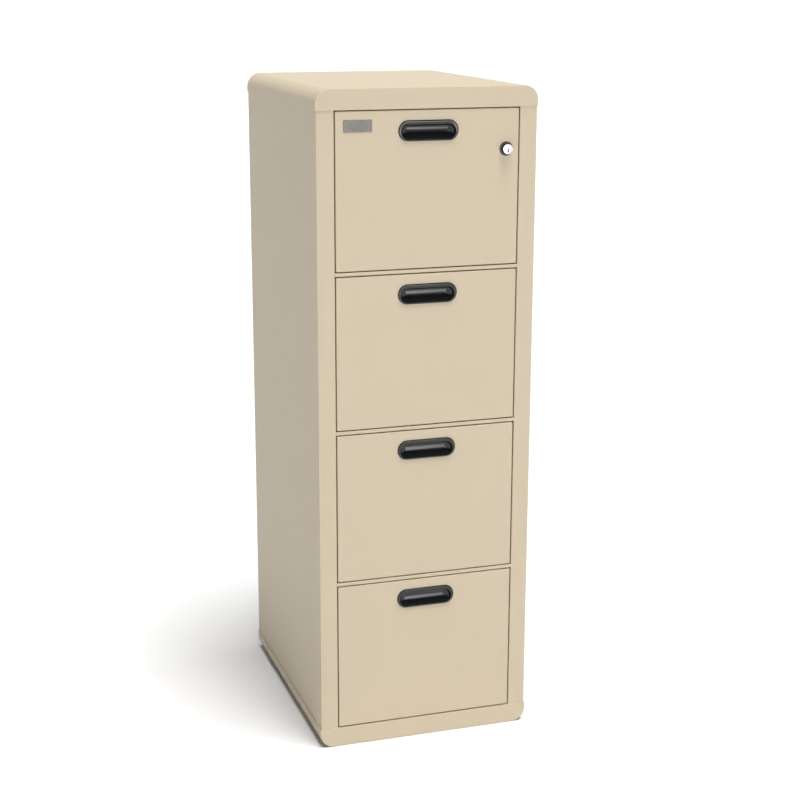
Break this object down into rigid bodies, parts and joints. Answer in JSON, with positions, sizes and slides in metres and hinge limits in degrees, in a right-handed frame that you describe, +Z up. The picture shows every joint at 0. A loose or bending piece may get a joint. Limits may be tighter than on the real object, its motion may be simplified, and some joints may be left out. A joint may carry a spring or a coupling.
{
  "type": "filing cabinet",
  "caption": "Tall insulated vertical filing cabinet in beige enamel, with a proud rounded cap and base, flush drawers on telescopic slides, black recessed pulls and a push lock.",
  "frame": {"origin": "centre of the footprint, on the floor under the base cap", "axes": "+Z up, -Y towards the user (the drawers open along -Y), +X to the right as seen from the front"},
  "size_m": [0.451, 0.5725, 1.34],
  "materials": {
    "beige_enamel": "satin",
    "insulation": "matte",
    "grey_enamel": "satin",
    "zinc_steel": "satin",
    "bright_steel": "polished",
    "black_abs": "gloss",
    "black_zinc": "satin",
    "chrome": "polished",
    "brushed_badge": "satin"
  },
  "bodies": {
    "cabinet": {"outer_wrapper": "beige_enamel", "top_cap": "beige_enamel", "base_cap": "beige_enamel", "left_core": "insulation", "right_core": "insulation", "back_core": "insulation", "top_core": "insulation", "base_core": "insulation", "inner_liner": "grey_enamel", "front_rails": "beige_enamel", "divider_1": "grey_enamel", "divider_2": "grey_enamel", "divider_3": "grey_enamel", "divider_cores": "insulation", "cabinet_rails": "zinc_steel", "lock_bar_guides": "zinc_steel"},
    "lock_bar": {"lock_bar": "zinc_steel", "lock_bar_hooks": "zinc_steel"},
    "middle_rails_1": {"middle_rails_1": "zinc_steel", "slide_balls_1": "bright_steel"},
    "drawer_1": {"drawer_front_1": "beige_enamel", "front_core_1": "insulation", "front_liner_1": "grey_enamel", "tray_1": "grey_enamel", "handle_cup_1": "black_abs", "drawer_rails_1": "zinc_steel", "catch_1": "zinc_steel", "lock_collar": "black_zinc", "lock_spring": "zinc_steel", "badge_plate": "brushed_badge"},
    "middle_rails_2": {"middle_rails_2": "zinc_steel", "slide_balls_2": "bright_steel"},
    "drawer_2": {"drawer_front_2": "beige_enamel", "front_core_2": "insulation", "front_liner_2": "grey_enamel", "tray_2": "grey_enamel", "handle_cup_2": "black_abs", "drawer_rails_2": "zinc_steel", "catch_2": "zinc_steel"},
    "middle_rails_3": {"middle_rails_3": "zinc_steel", "slide_balls_3": "bright_steel"},
    "drawer_3": {"drawer_front_3": "beige_enamel", "front_core_3": "insulation", "front_liner_3": "grey_enamel", "tray_3": "grey_enamel", "handle_cup_3": "black_abs", "drawer_rails_3": "zinc_steel", "catch_3": "zinc_steel"},
    "middle_rails_4": {"middle_rails_4": "zinc_steel", "slide_balls_4": "bright_steel"},
    "drawer_4": {"drawer_front_4": "beige_enamel", "front_core_4": "insulation", "front_liner_4": "grey_enamel", "tray_4": "grey_enamel", "handle_cup_4": "black_abs", "drawer_rails_4": "zinc_steel", "catch_4": "zinc_steel"},
    "lock_plunger": {"lock_plunger": "chrome"},
    "key_plug": {"key_plug": "chrome"}
  },
  "joints": [
    {"name": "drawer_1_slide", "type": "slide", "parent": "cabinet", "child": "drawer_1", "axis": [0, -1, 0], "range_m": [0, 0.41]},
    {"name": "middle_rails_1_slide", "type": "slide", "parent": "cabinet", "child": "middle_rails_1", "axis": [0, -1, 0], "range_m": [0, 0.205]},
    {"name": "drawer_2_slide", "type": "slide", "parent": "cabinet", "child": "drawer_2", "axis": [0, -1, 0], "range_m": [0, 0.41]},
    {"name": "middle_rails_2_slide", "type": "slide", "parent": "cabinet", "child": "middle_rails_2", "axis": [0, -1, 0], "range_m": [0, 0.205]},
    {"name": "drawer_3_slide", "type": "slide", "parent": "cabinet", "child": "drawer_3", "axis": [0, -1, 0], "range_m": [0, 0.41]},
    {"name": "middle_rails_3_slide", "type": "slide", "parent": "cabinet", "child": "middle_rails_3", "axis": [0, -1, 0], "range_m": [0, 0.205]},
    {"name": "drawer_4_slide", "type": "slide", "parent": "cabinet", "child": "drawer_4", "axis": [0, -1, 0], "range_m": [0, 0.41]},
    {"name": "middle_rails_4_slide", "type": "slide", "parent": "cabinet", "child": "middle_rails_4", "axis": [0, -1, 0], "range_m": [0, 0.205]},
    {"name": "lock_bar_lift", "type": "slide", "parent": "cabinet", "child": "lock_bar", "axis": [0, 0, 1], "range_m": [0, 0.009]},
    {"name": "lock_push", "type": "slide", "parent": "drawer_1", "child": "lock_plunger", "axis": [0, 1, 0], "range_m": [0, 0.009], "stiffness_N_per_m": 300, "springref_m": -0.01, "deforming": ["lock_spring"]},
    {"name": "key_turn", "type": "hinge", "parent": "lock_plunger", "child": "key_plug", "pos_m": [0.16, -0.2915, 1.2158], "axis": [0, 1, 0], "range_deg": [0, 90]}
  ],
  "couplings": [
    {"joint": "middle_rails_1_slide", "follows": "drawer_1_slide", "ratio": 0.5},
    {"joint": "middle_rails_2_slide", "follows": "drawer_2_slide", "ratio": 0.5},
    {"joint": "middle_rails_3_slide", "follows": "drawer_3_slide", "ratio": 0.5},
    {"joint": "middle_rails_4_slide", "follows": "drawer_4_slide", "ratio": 0.5},
    {"joint": "lock_push", "follows": "lock_bar_lift", "ratio": 1}
  ]
}
